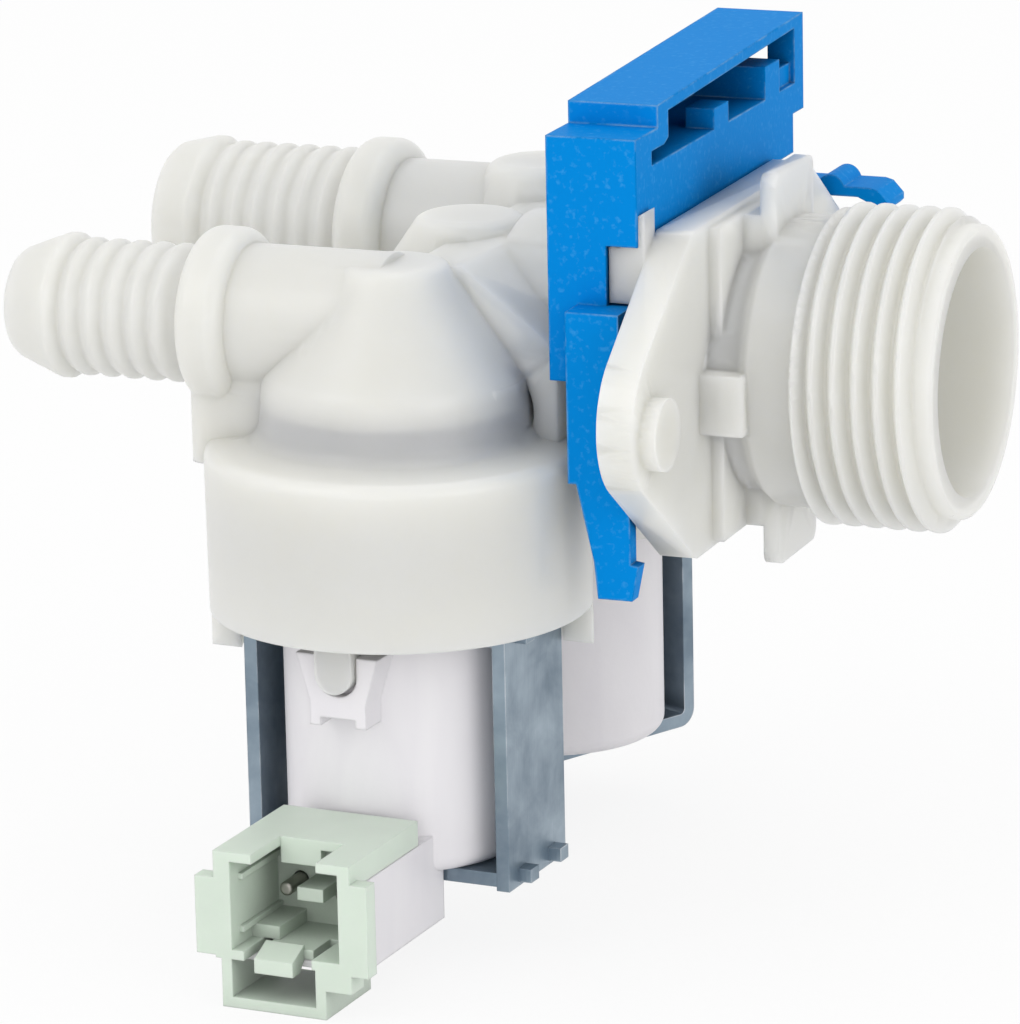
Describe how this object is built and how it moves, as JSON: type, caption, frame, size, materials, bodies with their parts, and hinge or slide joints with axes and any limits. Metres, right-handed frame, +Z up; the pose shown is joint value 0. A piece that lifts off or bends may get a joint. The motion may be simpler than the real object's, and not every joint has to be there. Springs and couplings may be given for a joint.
{
  "type": "washing machine inlet valve",
  "caption": "Twin solenoid water inlet valve: threaded inlet with flange and sliding clip, domed moulded body, barbed hose outlets, coils in steel yokes with keyed connectors.",
  "frame": {"origin": "centre of the threaded inlet's mouth, on the thread's axis, in the plane of the mouth", "axes": "+X along the thread's axis out of the mouth, +Z up with the coils hanging down, the valve with the thin barb towards -Y"},
  "size_m": [0.0777, 0.0737, 0.0704],
  "materials": {
    "natural_nylon": "satin, translucent",
    "azure_plastic": "satin",
    "white_plastic": "matte",
    "mint_plastic": "satin",
    "zinc_plated_steel": "bright zinc",
    "stainless_steel": "turned",
    "tinned_brass": "tinned",
    "copper_wire": "enamelled",
    "black_rubber": "matte"
  },
  "bodies": {
    "valve": {"valve_body": "natural_nylon", "inlet_strainer": "natural_nylon", "flow_regulator": "black_rubber", "mounting_clip": "azure_plastic", "front_diaphragm": "black_rubber", "front_guide_tube": "natural_nylon", "front_plunger_spring": "stainless_steel", "front_upper_flux_sleeve": "zinc_plated_steel", "front_lower_flux_sleeve": "zinc_plated_steel", "front_bobbin": "white_plastic", "front_winding": "copper_wire", "front_coil_case": "white_plastic", "front_left_terminal": "tinned_brass", "front_right_terminal": "tinned_brass", "front_connector_housing": "mint_plastic", "front_yoke_frame": "zinc_plated_steel", "front_yoke_plate": "zinc_plated_steel", "rear_diaphragm": "black_rubber", "rear_guide_tube": "natural_nylon", "rear_plunger_spring": "stainless_steel", "rear_upper_flux_sleeve": "zinc_plated_steel", "rear_lower_flux_sleeve": "zinc_plated_steel", "rear_bobbin": "white_plastic", "rear_winding": "copper_wire", "rear_coil_case": "white_plastic", "rear_left_terminal": "tinned_brass", "rear_right_terminal": "tinned_brass", "rear_connector_housing": "mint_plastic", "rear_yoke_frame": "zinc_plated_steel", "rear_yoke_plate": "zinc_plated_steel"},
    "front_plunger_body": {"front_plunger": "stainless_steel", "front_plunger_seal": "black_rubber"},
    "front_diaphragm_centre": {"front_diaphragm_insert": "natural_nylon"},
    "rear_plunger_body": {"rear_plunger": "stainless_steel", "rear_plunger_seal": "black_rubber"},
    "rear_diaphragm_centre": {"rear_diaphragm_insert": "natural_nylon"}
  },
  "joints": [
    {"name": "front_plunger_slide", "type": "slide", "parent": "valve", "child": "front_plunger_body", "axis": [0, 0, -1], "range_m": [0, 0.0025], "stiffness_N_per_m": 150, "springref_m": -0.002, "deforming": ["front_plunger_spring"]},
    {"name": "front_diaphragm_lift", "type": "slide", "parent": "valve", "child": "front_diaphragm_centre", "axis": [0, 0, -1], "range_m": [0, 0.0015], "deforming": ["front_diaphragm"]},
    {"name": "rear_plunger_slide", "type": "slide", "parent": "valve", "child": "rear_plunger_body", "axis": [0, 0, -1], "range_m": [0, 0.0025], "stiffness_N_per_m": 150, "springref_m": -0.002, "deforming": ["rear_plunger_spring"]},
    {"name": "rear_diaphragm_lift", "type": "slide", "parent": "valve", "child": "rear_diaphragm_centre", "axis": [0, 0, -1], "range_m": [0, 0.0015], "deforming": ["rear_diaphragm"]}
  ],
  "couplings": [
    {"joint": "front_diaphragm_lift", "follows": "front_plunger_slide", "ratio": 0.6},
    {"joint": "rear_diaphragm_lift", "follows": "rear_plunger_slide", "ratio": 0.6}
  ]
}
